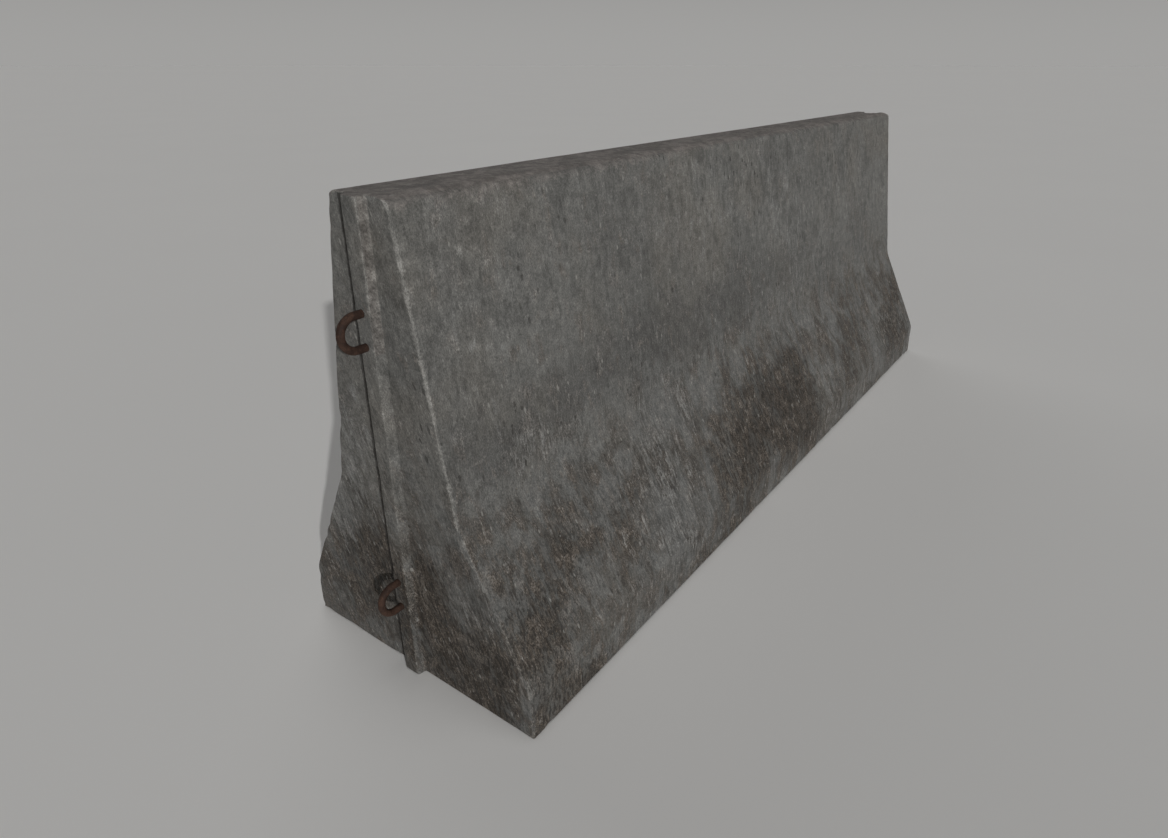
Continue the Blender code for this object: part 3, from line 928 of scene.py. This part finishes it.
def concrete_pits(m, place, flow, drawn, stored, low):
    """Small holes and larger spots in clusters, and short dark worms low down, mostly in the brown."""
    shifted = m.moved(m.stretched(flow, (1.0, 0.8, 1.0)), m.noise(place, 130, 2), 0.006)
    clustered = m.calc("ADD", stored.pocks, m.fade(m.noise(place, 8, 3), 0.48, 0.64, 0.10, 0.70))
    holes = m.calc("MULTIPLY", m.dots(drawn, 64, 0.21, 0.34), clustered)
    spots = m.calc("MULTIPLY", m.dots(shifted, 24, 0.10, 0.16), clustered)
    worms = m.fade(m.noise(m.stretched(flow, (185, 62, SIDE_SCALE)), 1, 2), 0.458, 0.405)
    worms = m.calc("MULTIPLY", worms, m.calc("MULTIPLY", low, m.fade(stored.brown, 0.1, 0.9, 0.15, 1.0)))
    return m.calc("MINIMUM", m.calc("MAXIMUM", m.calc("MAXIMUM", holes, spots), worms), 1.0)


def corner_dirt_and_shade(m, place):
    """Dirt and painted shade on the near end: a dark band from the tongue's left root out to a ragged line,
    in the corner where shade falls.
    """
    x, y, z = m.add("SeparateXYZ", {0: place}).outputs
    ragged = m.moved(place, m.noise(m.stretched(place, (1.0, 1.0, 0.5)), 90, 4, 0.7), 0.010)
    ragged_y = m.add("SeparateXYZ", {0: ragged}).outputs[1]
    root_y = KEY_Y + TONGUE_ROOT_WIDTH / 2
    line_y = root_y + CORNER_DIRT_AND_SHADE
    dirt = m.calc("MULTIPLY", m.fade(y, root_y - 0.001, root_y), m.fade(x, NEAR_X + 0.006, NEAR_X + 0.002))
    dirt = m.calc("MULTIPLY", dirt, m.fade(z, HEIGHT - 0.001, HEIGHT - 0.005))
    return m.calc("MULTIPLY", dirt, m.fade(ragged_y, line_y + 0.001, line_y))


def concrete_relief(m, p, low, specks, pits):
    """How high the surface stands, from its patterns, specks and pits."""
    height = m.calc("ADD", m.calc("MULTIPLY", p.fine, 0.30), m.calc("MULTIPLY", p.mottle, 0.40))
    height = m.calc("ADD", height, m.calc("MULTIPLY", p.sand, 0.10))
    height = m.calc("ADD", height, m.calc("MULTIPLY", p.streak, m.fade(low, 0.0, 1.0, 0.25, 0.55)))
    height = m.calc("ADD", height, m.calc("MULTIPLY", specks, 0.4))
    return m.calc("SUBTRACT", height, m.calc("MULTIPLY", pits, 1.3))


def concrete_material():
    """Grey concrete: finely streaked, grimy with painted shade and brown below the slope's break, and dusty
    on top.
    """
    m = Shader("weathered_concrete")
    place, flow = m.places(), m.kept("flow", "Vector")
    stored = Stored(*(m.kept(name) for name in Stored._fields))
    p = concrete_patterns(m, place, flow)
    low = m.fade(m.add("SeparateXYZ", {0: place}).outputs[2], *LOW_HEIGHTS)
    dusty = m.broken(stored.dust, [(p.blot, 0.4), (p.fine, 0.5), (p.mottle, 0.3)], 0.10, 1.15)

    colour = clean_concrete(m, place, p)
    colour = stained(m, colour, p, stored, low)
    colour = dusted(m, colour, p, stored, dusty)
    colour = rubbed(m, colour, p, stored)
    colour = grained(m, colour, p, low, dusty)

    drawn = m.moved(m.stretched(flow, (1.0, 0.5, 1.0)), m.noise(place, 180, 2), 0.004)
    pits = concrete_pits(m, place, flow, drawn, stored, low)
    colour = m.laid(colour, pits, 0.66, PIT_DARK)
    # Dirt and painted shade in the corner beside the tongue's left root, laid in the pits' dark colour.
    colour = m.laid(colour, corner_dirt_and_shade(m, place), m.fade(p.mottle, 0.2, 0.8, 0.55, 0.85), PIT_DARK)
    # Painted shade, with some dirt, darkens the deeper bites in the edges.
    colour = m.laid(colour, stored.hollow, 0.35, SHADE_GREY)
    specks = m.calc("MAXIMUM", m.dots(drawn, 23, 0.065, 0.18), m.dots(drawn, 58, 0.13, 0.07))
    colour = m.laid(colour, specks, 0.70, WORN)
    grains = m.calc("MULTIPLY", m.dots(flow, 105, 0.12, 0.08), low)
    colour = m.laid(colour, grains, 0.45, OCHRE)

    height = concrete_relief(m, p, low, specks, pits)
    m.principled.inputs["Specular IOR Level"].default_value = 0.25
    return m.finish(colour, m.fade(p.mottle, 0.0, 1.0, 0.86, 0.98), m.bump(height, 1.0))


def rust_material(name, dark, light, bright):
    """Rusted steel: dark and light rust in patches, with small bright blooms."""
    m = Shader(name)
    place = m.places()
    patches = m.noise(place, 85, 4, 0.6)
    fine = m.noise(place, 600, 3, 0.6)
    colour = m.mix(m.fade(patches, 0.38, 0.64), dark, light)
    blooms = m.broken(m.noise(place, 220, 3), [(fine, 0.4)], 0.60, 0.78)
    colour = m.laid(colour, blooms, 0.6, bright)
    colour = m.shaded(colour, m.fade(fine, 0.3, 0.7, 0.82, 1.18))
    height = m.calc("ADD", m.calc("MULTIPLY", patches, 0.25), m.calc("MULTIPLY", fine, 0.12))
    m.principled.inputs["Metallic"].default_value = 0.0
    m.principled.inputs["Specular IOR Level"].default_value = 0.3
    return m.finish(colour, m.fade(patches, 0.3, 0.7, 0.72, 0.92), m.bump(height, 1.0))


def floor_material():
    """A matt, pale floor."""
    m = Shader("plain_floor")
    tone = m.noise(m.places(), 0.8, 2)
    colour = m.mix(m.fade(tone, 0.2, 0.8), FLOOR_COLOUR, tuple(0.99 * c for c in FLOOR_COLOUR))
    m.feed(m.principled.inputs["Base Color"], colour)
    m.principled.inputs["Roughness"].default_value = 0.9
    m.principled.inputs["Specular IOR Level"].default_value = 0.0
    return m.material


# ---------------------------------------------------------------- stage, light and camera


def add_floor():
    """A wide floor, a hair below the barrier."""
    signs = ((-1, -1), (1, -1), (1, 1), (-1, 1))
    corners = [(FLOOR_SIZE * a, FLOOR_SIZE * b, -FLOOR_DROP) for a, b in signs]
    mesh = bpy.data.meshes.new("studio_floor")
    mesh.from_pydata(corners, [], [(0, 1, 2, 3)])
    mesh.materials.append(floor_material())
    floor = bpy.data.objects.new("studio_floor", mesh)
    bpy.context.scene.collection.objects.link(floor)


def add_sun(name, towards, strength, spread):
    """Parallel light that travels this way, softened by its spread in degrees."""
    light = bpy.data.lights.new(name, "SUN")
    light.energy = strength
    light.angle = radians(spread)
    obj = bpy.data.objects.new(name, light)
    obj.rotation_mode = "QUATERNION"
    obj.rotation_quaternion = Vector(towards).to_track_quat("-Z", "Y")
    bpy.context.scene.collection.objects.link(obj)


def add_world():
    """A plain surround: as pale as the floor at the horizon, and darker above."""
    world = bpy.data.worlds.new("studio")
    bpy.context.scene.world = world
    world.use_nodes = True
    tree = world.node_tree
    background = tree.nodes["Background"]
    direction = tree.nodes.new("ShaderNodeTexCoord")
    split = tree.nodes.new("ShaderNodeSeparateXYZ")
    rise = tree.nodes.new("ShaderNodeMapRange")
    rise.interpolation_type = "SMOOTHSTEP"
    rise.inputs["From Max"].default_value = ZENITH_AT
    blend = tree.nodes.new("ShaderNodeMix")
    blend.data_type = "RGBA"
    blend.inputs[6].default_value = (*HORIZON, 1.0)
    blend.inputs[7].default_value = (*ZENITH, 1.0)
    tree.links.new(direction.outputs["Generated"], split.inputs[0])
    tree.links.new(split.outputs["Z"], rise.inputs["Value"])
    tree.links.new(rise.outputs[0], blend.inputs[0])
    tree.links.new(blend.outputs[2], background.inputs["Color"])


def add_lights():
    for sun in SUNS:
        add_sun(*sun)
    add_world()


def add_camera():
    """A wide lens that looks down along the barrier, past its near end."""
    data = bpy.data.cameras.new("camera")
    data.lens = CAMERA_LENS
    data.sensor_width = SENSOR_WIDTH
    data.clip_end = 1000.0
    camera = bpy.data.objects.new("camera", data)
    camera.location = Vector((NEAR_X, 0, 0)) + Vector(CAMERA_FROM_END)
    camera.rotation_euler = (radians(90 - CAMERA_DOWN), 0, radians(-CAMERA_RIGHT))
    bpy.context.scene.collection.objects.link(camera)
    bpy.context.scene.camera = camera
    bpy.context.scene.view_settings.view_transform = "Standard"


# ---------------------------------------------------------------- the object


def add_casting():
    piece = casting()
    piece.data.materials.append(concrete_material())
    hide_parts("concrete_body")
    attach(piece, "root")


def add_loops():
    rust = rust_material("loop_rust", *LOOP_RUST)
    for seed, name in enumerate(("near_upper", "near_lower", "far_upper", "far_lower")):
        node = "loop_" + name
        path = loop_path(node, far=name.startswith("far"))
        piece = swept_bar(node + "_bar", path, LOOP_BAR, 10 + 20 * seed)
        piece.data.materials.append(rust)
        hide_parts(node)
        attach(piece, "root")


def finish_cage():
    """The cast-in bars and stirrups keep their CAD shape and get light surface rust."""
    rust = rust_material("cage_rust", *CAGE_RUST)
    for name, node in frame["nodes"].items():
        if name.startswith(("bar_", "stirrup_")):
            for slot in node.material_slots:
                slot.material = rust


add_casting()
add_loops()
finish_cage()
add_floor()
add_lights()
add_camera()
